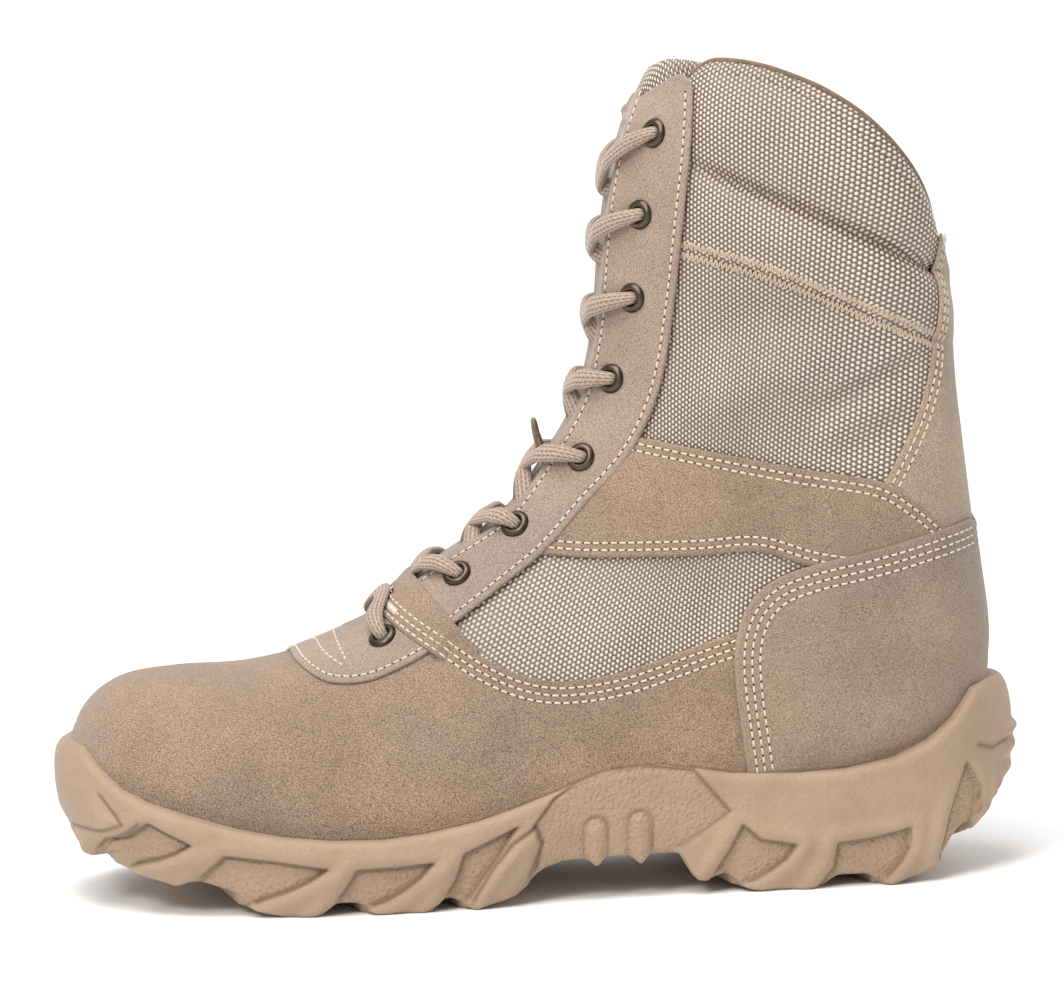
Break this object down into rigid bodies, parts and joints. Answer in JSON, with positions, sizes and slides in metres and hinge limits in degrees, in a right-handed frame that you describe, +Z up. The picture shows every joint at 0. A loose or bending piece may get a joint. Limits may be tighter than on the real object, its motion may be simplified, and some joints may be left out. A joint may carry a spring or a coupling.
{
  "type": "combat boot",
  "caption": "High lace-up desert combat boot in suede, nubuck and ballistic nylon, with padded collar, metal eyelets and a lugged moulded rubber sole.",
  "frame": {"origin": "on the floor under the middle of the boot's length and width", "axes": "+X from the toe to the heel, -Y to the lateral (outer) side, +Z up from the floor"},
  "size_m": [0.3084, 0.1099, 0.2625],
  "materials": {
    "nylon": "ballistic nylon, coarse basket weave with a soft sheen",
    "suede": "rough-out suede, matt with a fine nap",
    "nubuck": "smooth nubuck, matt",
    "rubber": "moulded tan rubber, smooth and pebbled",
    "insole": "brushed fabric over foam",
    "lining": "knitted mesh lining",
    "thread": "bonded thread",
    "eyelet_brass": "antique brass, dark and worn",
    "lace": "ribbed oval braid"
  },
  "bodies": {
    "root": {"upper": "nylon", "outsole": "rubber", "insole": "insole", "tongue": "nylon", "facing": "nubuck", "heel_counter": "suede", "ankle_band_lateral": "suede", "ankle_band_medial": "suede", "backstay": "suede", "eyelet_lateral_1": "eyelet_brass", "eyelet_lateral_2": "eyelet_brass", "eyelet_lateral_3": "eyelet_brass", "eyelet_lateral_4": "eyelet_brass", "eyelet_lateral_5": "eyelet_brass", "eyelet_lateral_6": "eyelet_brass", "eyelet_lateral_7": "eyelet_brass", "eyelet_lateral_8": "eyelet_brass", "eyelet_medial_1": "eyelet_brass", "eyelet_medial_2": "eyelet_brass", "eyelet_medial_3": "eyelet_brass", "eyelet_medial_4": "eyelet_brass", "eyelet_medial_5": "eyelet_brass", "eyelet_medial_6": "eyelet_brass", "eyelet_medial_7": "eyelet_brass", "eyelet_medial_8": "eyelet_brass", "lace_bar": "lace", "lace_crossing_1": "lace", "lace_crossing_2": "lace", "lace_crossing_3": "lace", "lace_crossing_4": "lace", "lace_crossing_5": "lace", "lace_crossing_6": "lace", "lace_crossing_7": "lace"}
  },
  "joints": []
}
